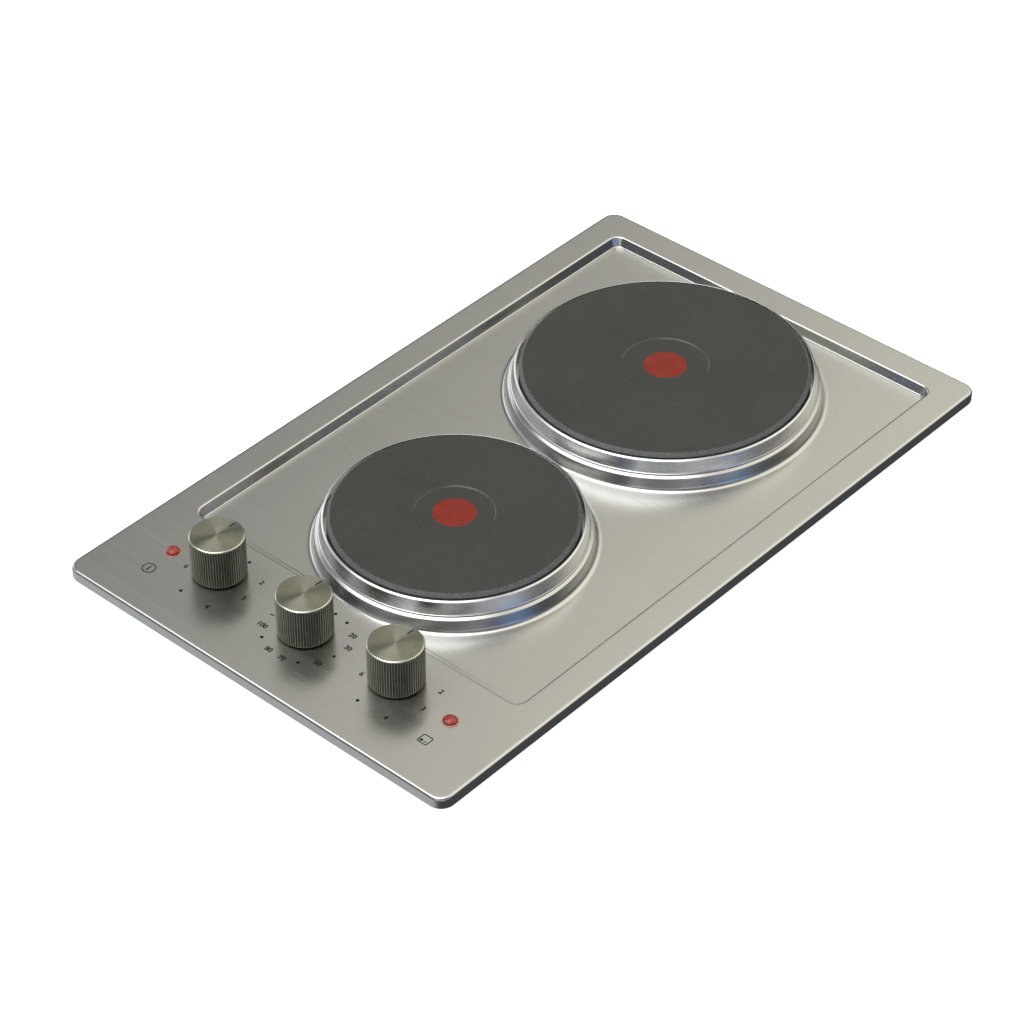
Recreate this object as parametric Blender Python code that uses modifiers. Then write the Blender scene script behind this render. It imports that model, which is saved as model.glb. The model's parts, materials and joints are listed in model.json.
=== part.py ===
"""A built-in electric hob with two sealed cast-iron hot plates, as its separate pieces.

Metres, +Z up, front edge towards -Y. The origin is under its middle, on the casing's underside.
Heights below are measured from the worktop that the flange lies on, unless they say otherwise.
"""

import math

import bmesh
import bpy
from mathutils import Matrix, Vector

# The pressed steel top
FLANGE_WIDTH, FLANGE_LENGTH = 0.290, 0.480
PANEL_HEIGHT = 0.0086
FLANGE_CORNER, FLANGE_BEND = 0.009, 0.0010
SHEET = 0.0008
WELL_FRONT, WELL_BACK, WELL_HALF_WIDTH = -0.158, 0.220, 0.125
WELL_CORNER, WELL_SLOPE, WELL_DEPTH = 0.007, 0.0026, 0.0055
RETURN_LIP = 0.0075
SEAL_THICKNESS = 0.0007

# The casing that hangs in the cut-out
WORKTOP_Z = 0.044
CASING_HALF_WIDTH, CASING_HALF_LENGTH = 0.1272, 0.224
CASING_SHEET, CASING_CORNER, CASING_LIP = 0.001, 0.006, 0.008

# The hot plates: name, middle along Y, radius of the cast iron
PLATES = (("front", -0.0717, 0.0733), ("rear", 0.1168, 0.0884))
IRON_TOP = 0.0238
CENTRE_RECESS = {"front": 0.0240, "rear": 0.0270}
SHOULDER, IRON_FOOT = 0.0132, 0.0050

# The controls: name, position on the panel, switch width and depth
KNOBS = (
    ("left", -0.0752, -0.1862, 0.038, 0.0217),
    ("middle", -0.0036, -0.1898, 0.042, 0.0257),
    ("right", 0.0618, -0.1860, 0.038, 0.0217),
)
KNOB_RADIUS, KNOB_BOTTOM, KNOB_TOP = 0.016, 0.0098, 0.0365
SHAFT_RADIUS = 0.003
LAMPS = (("left", -0.1080, -0.1911), ("right", 0.1053, -0.1904))
LAMP_RADIUS = 0.00425

# Beside the casing, in one line: the clamps' long screws and the studs that hold the casing's lip
FIXING_X = 0.1312
CLAMP_Y, CLAMP_REACH = 0.165, 0.022
STUD_Y, FIXING_RADIUS = 0.120, 0.002

# The mains inlet in the casing's back wall, height above the casing's underside
INLET_X, INLET_Z, INLET_BORE = 0.070, 0.022, 0.0045

GAP = 0.0003
ROUND, MIDDLING, SMALL = 40, 24, 12


def clear_scene():
    for obj in list(bpy.data.objects):
        bpy.data.objects.remove(obj, do_unlink=True)


def new_collection(name):
    collection = bpy.data.collections.new(name)
    bpy.context.scene.collection.children.link(collection)
    return collection


def new_material(name, colour, roughness, metallic=0.0):
    made = bpy.data.materials.new(name)
    made.use_nodes = True
    shader = made.node_tree.nodes["Principled BSDF"]
    shader.inputs["Base Color"].default_value = (*colour, 1)
    shader.inputs["Roughness"].default_value = roughness
    shader.inputs["Metallic"].default_value = metallic
    return made


clear_scene()
HOB = new_collection("two_plate_hob")
CUTTERS = new_collection("cutters")
CUTTERS.hide_render = True

STEEL = new_material("brushed_steel", (0.55, 0.54, 0.50), 0.32, 1.0)
BRIGHT_STEEL = new_material("bright_steel", (0.70, 0.70, 0.70), 0.15, 1.0)
IRON = new_material("cast_iron", (0.045, 0.046, 0.042), 0.75, 0.2)
KNOB_METAL = new_material("knob_metal", (0.42, 0.40, 0.35), 0.30, 1.0)
ZINC_STEEL = new_material("zinc_plated_steel", (0.60, 0.61, 0.62), 0.40, 1.0)
BLACK_PLASTIC = new_material("black_plastic", (0.03, 0.03, 0.03), 0.45)
RUBBER = new_material("black_rubber", (0.02, 0.02, 0.02), 0.80)
RED_LENS = new_material("red_lens", (0.65, 0.04, 0.02), 0.15)
CERAMIC = new_material("white_ceramic", (0.80, 0.78, 0.72), 0.50)
COMPOUND = new_material("insulating_compound", (0.55, 0.50, 0.42), 0.90)
FOAM = new_material("grey_foam", (0.15, 0.15, 0.15), 0.95)
LEAD_SLEEVE = new_material("lead_sleeve", (0.55, 0.12, 0.08), 0.60)


def above_worktop(height):
    return WORKTOP_Z + height


def finish_object(obj, material, collection=HOB):
    for owner in list(obj.users_collection):
        owner.objects.unlink(obj)
    collection.objects.link(obj)
    if material is not None:
        obj.data.materials.append(material)
    if collection is CUTTERS:
        obj.hide_render = True
        obj.display_type = "WIRE"
    return obj


def shade_round(obj):
    obj.data.shade_smooth()
    obj.data.set_sharp_from_angle(angle=math.radians(35))


def from_bmesh(name, shape, material, collection=HOB):
    mesh = bpy.data.meshes.new(name)
    shape.to_mesh(mesh)
    shape.free()
    return finish_object(bpy.data.objects.new(name, mesh), material, collection)


def block(name, size, centre, material=None, collection=HOB, edge=0.0):
    shape = bmesh.new()
    bmesh.ops.create_cube(shape, size=1.0, matrix=Matrix.Diagonal((*size, 1)))
    made = from_bmesh(name, shape, material, collection)
    made.location = centre
    if edge:
        bevel = made.modifiers.new("soft edges", "BEVEL")
        bevel.width, bevel.segments = edge, 1
    return made


def rod(name, radius, low, high, place, material=None, collection=HOB, sides=SMALL):
    """An upright cylinder between two heights, or a prism where it has few sides."""
    shape = bmesh.new()
    bmesh.ops.create_cone(
        shape, cap_ends=True, segments=sides, radius1=radius, radius2=radius, depth=high - low
    )
    made = from_bmesh(name, shape, material, collection)
    made.location = (place[0], place[1], (low + high) / 2)
    shade_round(made)
    return made


def turned(name, profile, place, material=None, collection=HOB, steps=MIDDLING, ring=False):
    """A profile of (radius, height) points turned about an upright axis. A ring's profile closes."""
    mesh = bpy.data.meshes.new(name)
    last = len(profile) - 1
    edges = [(i, i + 1) for i in range(last)] + ([(last, 0)] if ring else [])
    mesh.from_pydata([(radius, 0, height) for radius, height in profile], edges, [])
    made = finish_object(bpy.data.objects.new(name, mesh), material, collection)
    made.location = place
    turn = made.modifiers.new("turn", "SCREW")
    turn.axis, turn.angle = "Z", math.tau
    turn.steps = turn.render_steps = steps
    turn.use_merge_vertices, turn.merge_threshold = True, 0.00001
    turn.use_smooth_shade = True
    return made


def boolean(obj, other, operation):
    step = obj.modifiers.new(operation.lower() + " " + other.name, "BOOLEAN")
    step.operation, step.object, step.solver = operation, other, "EXACT"


def cut(obj, cutter):
    boolean(obj, cutter, "DIFFERENCE")


def weld_on(obj, other):
    boolean(obj, other, "UNION")


def rounded_rectangle(low, high, corner, points_per_corner=5):
    """The corner points of a rounded rectangle, anticlockwise seen from above."""
    quarter = math.pi / 2
    middles = (
        (high[0] - corner, high[1] - corner),
        (low[0] + corner, high[1] - corner),
        (low[0] + corner, low[1] + corner),
        (high[0] - corner, low[1] + corner),
    )
    points = []
    for number, middle in enumerate(middles):
        for step in range(points_per_corner):
            angle = quarter * (number + step / (points_per_corner - 1))
            points.append(
                (middle[0] + corner * math.cos(angle), middle[1] + corner * math.sin(angle))
            )
    return points


def lofted_sheet(name, loops, thickness, material, close_last=True):
    """An open sheet through loops of equal count, each (outline points, height), thickened inwards."""
    shape = bmesh.new()
    rows = [[shape.verts.new((x, y, height)) for x, y in outline] for outline, height in loops]
    for first, second in zip(rows, rows[1:]):
        for i in range(len(first)):
            j = (i + 1) % len(first)
            shape.faces.new((first[i], first[j], second[j], second[i]))
    if close_last:
        shape.faces.new(rows[-1])
    made = from_bmesh(name, shape, material)
    skin = made.modifiers.new("thickness", "SOLIDIFY")
    skin.thickness, skin.offset, skin.use_even_offset = thickness, -1.0, True
    return made


def folded_strip(name, folds, width, thickness, material, collection=HOB):
    """A strip bent along (run, height) points in its YZ plane, that wide along X."""
    shape = bmesh.new()
    rows = [
        [shape.verts.new((side * width / 2, run, height)) for side in (-1, 1)]
        for run, height in folds
    ]
    for first, second in zip(rows, rows[1:]):
        shape.faces.new((first[0], first[1], second[1], second[0]))
    made = from_bmesh(name, shape, material, collection)
    skin = made.modifiers.new("thickness", "SOLIDIFY")
    skin.thickness, skin.offset, skin.use_even_offset = thickness, 0.0, True
    return made


def fixing_places(y):
    """The four places beside the casing: front left, rear left, front right, rear right."""
    return [(side * FIXING_X, end * y) for side in (-1, 1) for end in (-1, 1)]


def top_tray():
    """The pressed top: returned lip, flange, sunk well, two raised collars, holes and weld studs."""
    half_width, half_length = FLANGE_WIDTH / 2, FLANGE_LENGTH / 2
    top = above_worktop(PANEL_HEIGHT)
    foot = above_worktop(SEAL_THICKNESS + GAP)

    def flange_loop(inset):
        corner = max(FLANGE_CORNER - inset, 0.0015)
        return rounded_rectangle(
            (inset - half_width, inset - half_length),
            (half_width - inset, half_length - inset),
            corner,
        )

    def well_loop(inset):
        return rounded_rectangle(
            (inset - WELL_HALF_WIDTH, WELL_FRONT + inset),
            (WELL_HALF_WIDTH - inset, WELL_BACK - inset),
            WELL_CORNER - inset,
        )

    bend = FLANGE_BEND
    tray = lofted_sheet(
        "top_tray",
        [
            (flange_loop(RETURN_LIP), foot),
            (flange_loop(0), foot),
            (flange_loop(0), top - bend),
            (flange_loop(bend * 0.3), top - bend * 0.3),
            (flange_loop(bend), top),
            (well_loop(0), top),
            (well_loop(WELL_SLOPE), top - WELL_DEPTH),
        ],
        SHEET,
        STEEL,
    )
    floor = above_worktop(PANEL_HEIGHT - WELL_DEPTH)
    for name, y, radius in PLATES:
        place = (0, y, 0)
        low, high = floor - 0.01, floor + 0.01
        opening = rod("opening_" + name, radius + 0.0090, low, high, place, None, CUTTERS, ROUND)
        cut(tray, opening)
        weld_on(tray, collar(name, place, radius, floor))
    holes = [(place[:3], SHAFT_RADIUS * 2) for place in KNOBS]
    holes += [(place, 0.0032) for place in LAMPS]
    for (name, x, y), radius in holes:
        low, high = top - 0.004, top + 0.004
        hole = rod(f"hole_{name}_{radius * 2000:.0f}", radius, low, high, (x, y), None, CUTTERS)
        cut(tray, hole)
    for number, place in enumerate(fixing_places(STUD_Y)):
        low, high = above_worktop(0.0014), top - SHEET / 2
        stud = rod(f"weld_stud_{number}", FIXING_RADIUS, low, high, place, None, CUTTERS)
        weld_on(tray, stud)


def collar(name, place, radius, floor):
    """The raised collar pressed up round a plate's opening; the trim ring stands on its ledge."""
    ledge = above_worktop(0.0120)
    return turned(
        "collar_" + name,
        [
            (radius + 0.0052, ledge),
            (radius + 0.0062, ledge - 0.0006),
            (radius + 0.0080, floor + 0.0014),
            (radius + 0.0090, floor - 0.0001),
            (radius + 0.0099, floor - 0.0001),
            (radius + 0.0099, floor - 0.0007),
            (radius + 0.0082, floor - 0.0007),
            (radius + 0.0054, ledge - 0.0009),
            (radius - 0.0030, ledge - 0.0009),
            (radius - 0.0030, ledge),
        ],
        place,
        None,
        CUTTERS,
        ROUND,
        ring=True,
    )


def iron_plate(name, place, radius):
    """The cast-iron plate: shallow centre recess, bevelled rim, shoulder on the trim ring, skirt."""
    recess = CENTRE_RECESS[name]
    turned(
        "iron_plate_" + name,
        [
            (0, IRON_TOP - 0.0005),
            (recess - 0.0004, IRON_TOP - 0.0005),
            (recess, IRON_TOP),
            (radius - 0.0031, IRON_TOP),
            (radius, IRON_TOP - 0.0016),
            (radius, SHOULDER),
            (radius - 0.0040, SHOULDER),
            (radius - 0.0040, IRON_FOOT),
            (radius - 0.0100, IRON_FOOT),
            (radius - 0.0100, 0.0153),
            (0, 0.0153),
        ],
        place,
        IRON,
        steps=ROUND,
    )


def trim_ring(name, place, radius):
    """The bright ring between plate and collar: rolled top edge, steep wall, foot under the plate."""
    foot = 0.0120 + GAP
    turned(
        "trim_ring_" + name,
        [
            (radius + 0.0016, 0.0219),
            (radius + 0.0023, 0.0215),
            (radius + 0.0046, 0.0134),
            (radius + 0.0055, 0.0128),
            (radius + 0.0055, foot),
            (radius - 0.0028, foot),
            (radius - 0.0028, foot + 0.0006),
            (radius + 0.0039, foot + 0.0006),
            (radius + 0.0014, 0.0213),
        ],
        place,
        BRIGHT_STEEL,
        steps=ROUND,
        ring=True,
    )


def plate_underside(name, place, radius):
    """Under one plate: element, shield, strap, stud, nut, ceramic terminals and thermal cut-out."""
    turned(
        "heating_element_" + name,
        [
            (radius - 0.0105, 0.0150),
            (radius - 0.0105, 0.0080),
            (0.0042, 0.0080),
            (0.0042, 0.0150),
        ],
        place,
        COMPOUND,
        ring=True,
    )
    turned(
        "bottom_shield_" + name,
        [
            (radius - 0.0070, 0.0047),
            (radius - 0.0070, 0.0026),
            (0.0036, 0.0026),
            (0.0036, 0.0032),
            (radius - 0.0076, 0.0032),
            (radius - 0.0076, 0.0047),
        ],
        place,
        ZINC_STEEL,
        ring=True,
    )
    strap = folded_strip(
        "clamp_strap_" + name,
        [(-0.009, -0.0042), (-0.009, 0.00125), (0.009, 0.00125), (0.009, -0.0042)],
        2 * (radius + 0.0145),
        0.0015,
        ZINC_STEEL,
    )
    strap.location = place
    low, high = above_worktop(-0.010), above_worktop(0.006)
    stud_hole = rod("stud_hole_" + name, 0.0034, low, high, place, None, CUTTERS)
    cut(strap, stud_hole)
    low, high = above_worktop(-0.012), above_worktop(0.0150)
    rod("centre_stud_" + name, 0.003, low, high, place, ZINC_STEEL)
    low, high = above_worktop(-0.0048), above_worktop(0.0002)
    nut = rod("stud_nut_" + name, 0.0058, low, high, place, ZINC_STEEL, sides=6)
    cut(nut, stud_hole)
    terminal = block(
        "plate_terminal_" + name,
        (0.034, 0.016, 0.012),
        (0, place[1] - 0.032, above_worktop(-0.0037)),
        CERAMIC,
        edge=0.0008,
    )
    for number in range(3):
        screw_hole = rod(
            f"terminal_hole_{name}_{number}",
            0.0022,
            above_worktop(-0.012),
            above_worktop(-0.004),
            ((number - 1) * 0.010, place[1] - 0.032),
            None,
            CUTTERS,
            sides=8,
        )
        cut(terminal, screw_hole)
    turned(
        "thermal_cutout_" + name,
        [
            (0, 0.0023),
            (0.0085, 0.0023),
            (0.0085, -0.0030),
            (0.0060, -0.0030),
            (0.0060, -0.0075),
            (0, -0.0075),
        ],
        (0, place[1] + 0.032, WORKTOP_Z),
        BLACK_PLASTIC,
        steps=SMALL,
    )


def control(name, x, y, switch_width, switch_depth):
    """One knob with its hub and shaft, the seal round the shaft and the switch below."""
    place = (x, y, WORKTOP_Z)
    radius, low, high = KNOB_RADIUS, KNOB_BOTTOM, KNOB_TOP
    cap = turned(
        "knob_cap_" + name,
        [
            (0, high),
            (radius - 0.0008, high),
            (radius, high - 0.0009),
            (radius, low + 0.0006),
            (radius - 0.0006, low),
            (radius - 0.0020, low),
            (radius - 0.0020, high - 0.0030),
            (0, high - 0.0030),
        ],
        place,
        KNOB_METAL,
    )
    index = block(
        "index_line_" + name,
        (0.0010, 0.0055, 0.0008),
        (x, y + 0.01175, above_worktop(high)),
        None,
        CUTTERS,
    )
    cut(cap, index)
    turned(
        "knob_hub_" + name,
        [
            (0, high - 0.0033),
            (radius - 0.0023, high - 0.0033),
            (radius - 0.0023, high - 0.0075),
            (0.0062, high - 0.0075),
            (0.0062, low + 0.0008),
            (SHAFT_RADIUS + GAP, low + 0.0008),
            (SHAFT_RADIUS + GAP, high - 0.0095),
            (0, high - 0.0095),
        ],
        place,
        BLACK_PLASTIC,
        steps=SMALL,
    )
    shaft_top = above_worktop(high - 0.0098)
    shaft_foot = above_worktop(-0.009)
    shaft = rod("control_shaft_" + name, SHAFT_RADIUS, shaft_foot, shaft_top, place, ZINC_STEEL)
    flat = block(
        "shaft_flat_" + name,
        (0.008, 0.002, 0.014),
        (x, y - SHAFT_RADIUS, shaft_top - 0.005),
        None,
        CUTTERS,
    )
    cut(shaft, flat)
    panel, under = PANEL_HEIGHT, PANEL_HEIGHT - SHEET
    turned(
        "shaft_seal_" + name,
        [
            (0.0085, panel + 0.0009),
            (0.0085, panel + GAP),
            (0.0057, panel + GAP),
            (0.0057, under - GAP),
            (0.0080, under - GAP),
            (0.0080, under - 0.0015),
            (SHAFT_RADIUS + 0.0004, under - 0.0015),
            (SHAFT_RADIUS + 0.0004, panel + 0.0009),
        ],
        place,
        RUBBER,
        steps=SMALL,
        ring=True,
    )
    switch_body(name, x, y, switch_width, switch_depth)


def switch_body(name, x, y, width, depth):
    """A switch housing under the bracket, with a bushing round the shaft and four tab terminals."""
    top = above_worktop(0.0027)
    housing = block(
        ("timer_" if name == "middle" else "heat_") + "switch_" + name,
        (width, width, depth),
        (x, y, top - depth / 2),
        BLACK_PLASTIC,
        edge=0.0012,
    )
    bushing = rod("bushing_" + name, 0.0050, top - 0.002, above_worktop(0.0056), (x, y), None, CUTTERS)
    weld_on(housing, bushing)
    low, high = above_worktop(-0.0095), above_worktop(0.01)
    bore = rod("bore_" + name, SHAFT_RADIUS + GAP, low, high, (x, y), None, CUTTERS)
    cut(housing, bore)
    for number in range(4):
        across, along = (number % 2 - 0.5) * width * 0.5, (number // 2 - 0.5) * width * 0.5
        tab = block(
            f"tab_terminal_{name}_{number}",
            (0.0008, 0.0063, 0.010),
            (x + across, y + along, top - depth - 0.003),
            None,
            CUTTERS,
        )
        weld_on(housing, tab)


def switch_bracket():
    """The folded bracket that hangs under the panel and carries the three switches."""
    first, last = KNOBS[0][1] - 0.022, KNOBS[-1][1] + 0.022
    middle_y = -0.1880
    web, foot = above_worktop(0.0036), above_worktop(PANEL_HEIGHT - SHEET - GAP - 0.0006)
    bracket = folded_strip(
        "switch_bracket",
        [
            (-0.0285, foot),
            (-0.0225, foot),
            (-0.0225, web),
            (0.0225, web),
            (0.0225, foot),
            (0.0272, foot),
        ],
        last - first,
        0.0012,
        ZINC_STEEL,
    )
    bracket.location = ((first + last) / 2, middle_y, 0)
    for name, x, y, _, _ in KNOBS:
        low, high = web - 0.002, web + 0.002
        cut(bracket, rod("bracket_hole_" + name, 0.0054, low, high, (x, y), None, CUTTERS))


def pilot_lamp(name, x, y):
    """A domed red lens pushed through the panel, and the lamp body behind it."""
    dome = PANEL_HEIGHT + GAP
    turned(
        "lamp_lens_" + name,
        [
            (0, dome + 0.0025),
            (LAMP_RADIUS * 0.5, dome + 0.0022),
            (LAMP_RADIUS * 0.85, dome + 0.0013),
            (LAMP_RADIUS, dome),
            (0.0028, dome),
            (0.0028, 0.0050),
            (0, 0.0050),
        ],
        (x, y, WORKTOP_Z),
        RED_LENS,
        steps=16,
    )
    turned(
        "lamp_body_" + name,
        [(0, 0.0047), (0.0042, 0.0047), (0.0042, -0.0150), (0.0030, -0.0180), (0, -0.0180)],
        (x, y, WORKTOP_Z),
        BLACK_PLASTIC,
        steps=SMALL,
    )


def bottom_casing():
    """The sheet-steel pan round the works: a lip for its fixings, cooling slots, the cable inlet."""
    def loop(inset):
        return rounded_rectangle(
            (inset - CASING_HALF_WIDTH, inset - CASING_HALF_LENGTH),
            (CASING_HALF_WIDTH - inset, CASING_HALF_LENGTH - inset),
            CASING_CORNER - inset,
            4,
        )

    lip = above_worktop(PANEL_HEIGHT - SHEET - GAP) - CASING_SHEET
    outside = [(loop(-CASING_LIP), lip), (loop(0), lip), (loop(0), 0.0015), (loop(0.0015), 0.0)]
    casing = lofted_sheet("bottom_casing", outside, CASING_SHEET, ZINC_STEEL)
    casing.data.flip_normals()
    for number, place in enumerate(fixing_places(STUD_Y) + fixing_places(CLAMP_Y)):
        radius = FIXING_RADIUS + 0.0004
        cut(casing, rod(f"lip_hole_{number}", radius, lip - 0.002, lip + 0.002, place, None, CUTTERS))
    for y in (KNOBS[1][2], PLATES[1][1]):
        for number in range(5):
            slot = block(
                f"slot_{y:.2f}_{number}",
                (0.034, 0.003, 0.004),
                (-0.050, y + (number - 2) * 0.009, 0.0),
                None,
                CUTTERS,
            )
            cut(casing, slot)
    place = (INLET_X, CASING_HALF_LENGTH)
    inlet = rod("inlet_hole", INLET_BORE + 0.0033, -0.004, 0.004, place, None, CUTTERS)
    inlet.location.z = INLET_Z
    inlet.rotation_euler = (math.radians(90), 0, 0)
    cut(casing, inlet)


def mains_inlet():
    """The cable gland in the back wall and the terminal block in front of it."""
    gland = turned(
        "cable_gland",
        [
            (INLET_BORE + 0.0020, 0.0048),
            (INLET_BORE + 0.0055, 0.0036),
            (INLET_BORE + 0.0055, GAP),
            (INLET_BORE + 0.0030, GAP),
            (INLET_BORE + 0.0030, -0.0060),
            (INLET_BORE, -0.0060),
            (INLET_BORE, 0.0048),
        ],
        (INLET_X, CASING_HALF_LENGTH, INLET_Z),
        BLACK_PLASTIC,
        ring=True,
    )
    gland.rotation_euler = (math.radians(-90), 0, 0)
    terminal = block(
        "mains_terminal",
        (0.042, 0.020, 0.016),
        (INLET_X, CASING_HALF_LENGTH - 0.030, CASING_SHEET + GAP + 0.008),
        BLACK_PLASTIC,
        edge=0.0008,
    )
    for number in range(4):
        cut(
            terminal,
            rod(
                f"mains_hole_{number}",
                0.0026,
                0.010,
                0.020,
                (INLET_X + (number - 1.5) * 0.010, CASING_HALF_LENGTH - 0.030),
                None,
                CUTTERS,
                sides=8,
            ),
        )


def worktop_seal():
    """The foam strip under the flange's returned lip."""
    def loop(inset):
        return rounded_rectangle(
            (inset - FLANGE_WIDTH / 2, inset - FLANGE_LENGTH / 2),
            (FLANGE_WIDTH / 2 - inset, FLANGE_LENGTH / 2 - inset),
            max(FLANGE_CORNER - inset, 0.0015),
        )

    top = WORKTOP_Z + SEAL_THICKNESS
    lofted_sheet(
        "worktop_seal",
        [(loop(0.0018), top), (loop(RETURN_LIP - 0.0008), top)],
        SEAL_THICKNESS,
        FOAM,
        close_last=False,
    )


def worktop_clamp(name, place):
    """An arm on its long screw. At rest it lies along the casing; it swings out under the worktop."""
    low, high = above_worktop(-0.0362), above_worktop(-0.0342)
    arm = rod("worktop_clamp_" + name, 0.0035, low, high, (0, 0), ZINC_STEEL)
    arm.location = (*place, (low + high) / 2)
    bar = folded_strip(
        "clamp_bar_" + name,
        [(0.0, 0.0), (CLAMP_REACH - 0.001, 0.0), (CLAMP_REACH - 0.001, 0.0045)],
        0.0060,
        0.0018,
        None,
        CUTTERS,
    )
    bar.location = arm.location
    bar.rotation_euler = (0, 0, math.pi if place[1] > 0 else 0)
    weld_on(arm, bar)
    cut(arm, rod("clamp_hole_" + name, 0.0023, low - 0.002, high + 0.002, place, None, CUTTERS))
    turned(
        "clamp_screw_" + name,
        [
            (0, above_worktop(PANEL_HEIGHT - SHEET - GAP)),
            (FIXING_RADIUS, above_worktop(PANEL_HEIGHT - SHEET - GAP)),
            (FIXING_RADIUS, 0.0045),
            (0.0034, 0.0040),
            (0.0034, 0.0022),
            (0, 0.0022),
        ],
        (*place, 0),
        ZINC_STEEL,
        steps=SMALL,
    )


def casing_nut(name, place):
    """The nut under the casing's lip, on a weld stud of the top."""
    lip_underside = above_worktop(PANEL_HEIGHT - SHEET - GAP) - CASING_SHEET
    high = lip_underside - GAP
    nut = rod("casing_nut_" + name, 0.0039, high - 0.0032, high, place, ZINC_STEEL, sides=6)
    hole_radius, low = FIXING_RADIUS + GAP, high - 0.005
    cut(nut, rod("nut_hole_" + name, hole_radius, low, high + 0.001, place, None, CUTTERS))


def lead(name, route, radius=0.0014):
    """An insulated lead on a smooth line through its route's points."""
    points = [Vector(point) for point in route]
    ends = [2 * points[0] - points[1], *points, 2 * points[-1] - points[-2]]
    smooth = []
    for a, b, c, d in zip(ends, ends[1:], ends[2:], ends[3:]):
        for step in range(3):
            t = step / 3
            smooth.append(
                b
                + 0.5 * (c - a) * t
                + 0.5 * (2 * a - 5 * b + 4 * c - d) * t**2
                + 0.5 * (3 * b - a - 3 * c + d) * t**3
            )
    smooth.append(points[-1])
    curve = bpy.data.curves.new(name, "CURVE")
    curve.dimensions, curve.bevel_depth, curve.bevel_resolution = "3D", radius, 2
    curve.use_fill_caps = True
    line = curve.splines.new("POLY")
    line.points.add(len(smooth) - 1)
    for point, place in zip(line.points, smooth):
        point.co = (*place, 1)
    finish_object(bpy.data.objects.new(name, curve), LEAD_SLEEVE)


def leads():
    """The leads inside the casing, along its floor and up to the terminals."""
    floor, low = 0.0085, 0.0038
    left, right = KNOBS[0], KNOBS[2]
    front, rear = PLATES[0][1] - 0.032, PLATES[1][1] - 0.032
    terminal_under = above_worktop(-0.0100)
    lead(
        "lead_front_plate",
        [
            (left[1], left[2] + 0.0095, 0.0145),
            (left[1] + 0.002, left[2] + 0.020, 0.0100),
            (left[1] + 0.030, left[2] + 0.050, 0.0115),
            (-0.020, front - 0.006, 0.0150),
            (-0.005, front, 0.024),
            (-0.005, front, terminal_under),
        ],
    )
    lead(
        "lead_rear_plate",
        [
            (right[1], right[2] + 0.0095, 0.0145),
            (right[1] + 0.004, right[2] + 0.022, floor),
            (right[1] + 0.026, -0.100, floor - 0.003),
            (right[1] + 0.028, 0.000, floor - 0.003),
            (0.050, rear - 0.030, floor),
            (0.012, rear - 0.004, 0.018),
            (0.005, rear, terminal_under),
        ],
    )
    lead(
        "lead_mains",
        [
            (0.053, CASING_HALF_LENGTH - 0.042, 0.0090),
            (0.050, CASING_HALF_LENGTH - 0.060, 0.0060),
            (-0.010, 0.120, low),
            (-0.104, 0.040, low),
            (-0.108, -0.080, low),
            (-0.070, -0.140, low),
            (-0.012, KNOBS[1][2] + 0.012, low + 0.0010),
            (KNOBS[1][1], KNOBS[1][2], 0.0110),
            (KNOBS[1][1], KNOBS[1][2], 0.0202),
        ],
    )


def build():
    top_tray()
    for name, y, radius in PLATES:
        place = (0, y, WORKTOP_Z)
        iron_plate(name, place, radius)
        trim_ring(name, place, radius)
        plate_underside(name, place, radius)
    for knob in KNOBS:
        control(*knob)
    switch_bracket()
    for lamp in LAMPS:
        pilot_lamp(*lamp)
    bottom_casing()
    mains_inlet()
    worktop_seal()
    corners = ("front_left", "rear_left", "front_right", "rear_right")
    for name, clamp_place, stud_place in zip(corners, fixing_places(CLAMP_Y), fixing_places(STUD_Y)):
        worktop_clamp(name, clamp_place)
        casing_nut(name, stud_place)
    leads()


build()
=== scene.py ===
"""The looks of a built-in electric hob with two sealed cast-iron plates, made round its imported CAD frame.

Metres, +Z up, front edge towards -Y. Heights "above the worktop" are measured from the plane that
the flange lies on.
"""

import json
import math

import bmesh
import bpy
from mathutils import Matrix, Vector, noise


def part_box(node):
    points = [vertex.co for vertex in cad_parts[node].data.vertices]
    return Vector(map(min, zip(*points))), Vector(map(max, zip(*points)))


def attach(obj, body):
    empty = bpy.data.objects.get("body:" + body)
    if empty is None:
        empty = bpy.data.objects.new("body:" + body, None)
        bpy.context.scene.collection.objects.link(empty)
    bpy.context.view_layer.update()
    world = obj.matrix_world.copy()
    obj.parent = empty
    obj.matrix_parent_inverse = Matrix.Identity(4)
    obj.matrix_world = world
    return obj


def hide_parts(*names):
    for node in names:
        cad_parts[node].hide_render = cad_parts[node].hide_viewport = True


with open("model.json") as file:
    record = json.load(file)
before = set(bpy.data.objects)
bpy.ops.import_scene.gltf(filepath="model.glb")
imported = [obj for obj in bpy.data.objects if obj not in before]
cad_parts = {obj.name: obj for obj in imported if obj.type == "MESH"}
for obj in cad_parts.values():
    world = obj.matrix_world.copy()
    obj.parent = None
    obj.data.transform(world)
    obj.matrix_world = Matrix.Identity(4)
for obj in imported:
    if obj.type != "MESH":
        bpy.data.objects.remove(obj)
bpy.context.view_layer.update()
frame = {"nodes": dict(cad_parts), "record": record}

SLOTS = {name: node.material_slots[0].material.name.split(".")[0] for name, node in frame["nodes"].items()}
MM = 0.001


def mount_place(name):
    return Vector(next(m["pos_m"] for m in frame["record"]["mounts"] if m["name"] == name))


def middle_of(node):
    low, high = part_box(node)
    return (low + high) / 2


def radius_of(node):
    low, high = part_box(node)
    return (high.x - low.x) / 2


WORKTOP_Z = mount_place("worktop_seat").z
IRON_TOP = mount_place("pan_rest_front").z - WORKTOP_Z

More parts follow.
